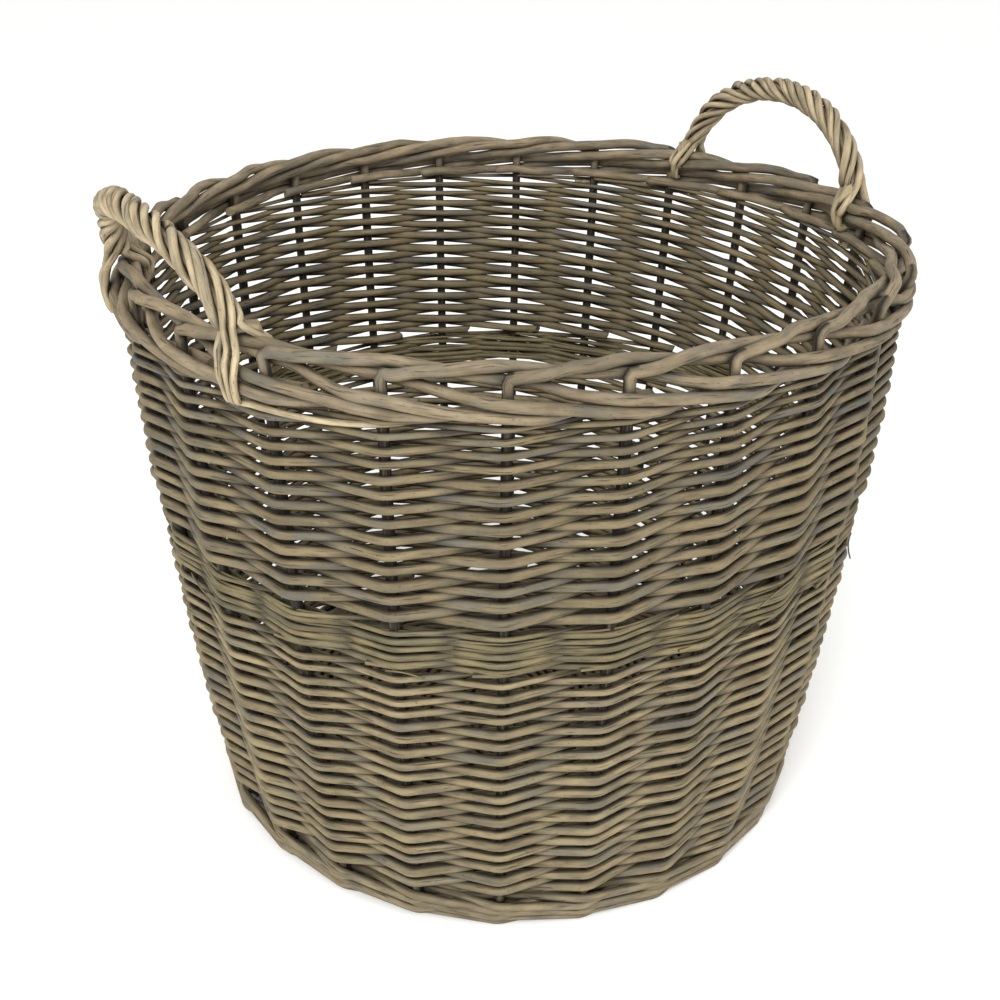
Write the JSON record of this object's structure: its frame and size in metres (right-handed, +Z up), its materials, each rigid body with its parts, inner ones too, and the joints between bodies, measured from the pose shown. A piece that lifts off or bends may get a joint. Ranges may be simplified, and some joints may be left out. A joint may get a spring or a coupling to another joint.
{
  "type": "wicker log basket",
  "caption": "Round tapered willow basket for logs, woven on upright stakes with a rolled plait border and a twisted rope handle on each side.",
  "frame": {"origin": "on the floor, under the middle of the basket", "axes": "+Z up out of the mouth, the two handles stand on the X axis"},
  "size_m": [0.5346, 0.5096, 0.4838],
  "materials": {
    "stake": "antique-washed willow rod, matt",
    "lower_weaver": "antique-washed willow rod, matt",
    "upper_weaver": "antique-washed willow rod, matt",
    "thin_tips": "antique-washed willow rod, matt",
    "wale_rod": "antique-washed willow rod, matt",
    "base_weaver": "antique-washed willow rod, matt",
    "base_stick": "antique-washed willow rod, matt",
    "handle_core": "antique-washed willow rod, matt",
    "handle_rod": "antique-washed willow rod, matt"
  },
  "bodies": {
    "root": {"base_stick_1": "base_stick", "base_stick_2": "base_stick", "base_stick_3": "base_stick", "base_stick_4": "base_stick", "base_stick_5": "base_stick", "base_stick_6": "base_stick", "base_weave": "base_weaver", "foot_wale": "wale_rod", "stake_01": "stake", "stake_02": "stake", "stake_03": "stake", "stake_04": "stake", "stake_05": "stake", "stake_06": "stake", "stake_07": "stake", "stake_08": "stake", "stake_09": "stake", "stake_10": "stake", "stake_11": "stake", "stake_12": "stake", "stake_13": "stake", "stake_14": "stake", "stake_15": "stake", "stake_16": "stake", "stake_17": "stake", "stake_18": "stake", "stake_19": "stake", "stake_20": "stake", "stake_21": "stake", "stake_22": "stake", "stake_23": "stake", "stake_24": "stake", "lower_randing": "lower_weaver", "tips_band": "thin_tips", "upper_randing": "upper_weaver", "handle_a_bow": "handle_core", "handle_b_bow": "handle_core", "handle_a_rod_1": "handle_rod", "handle_a_rod_2": "handle_rod", "handle_a_rod_3": "handle_rod", "handle_a_rod_4": "handle_rod", "handle_a_rod_5": "handle_rod", "handle_a_rod_6": "handle_rod", "handle_b_rod_1": "handle_rod", "handle_b_rod_2": "handle_rod", "handle_b_rod_3": "handle_rod", "handle_b_rod_4": "handle_rod", "handle_b_rod_5": "handle_rod", "handle_b_rod_6": "handle_rod"}
  },
  "joints": []
}
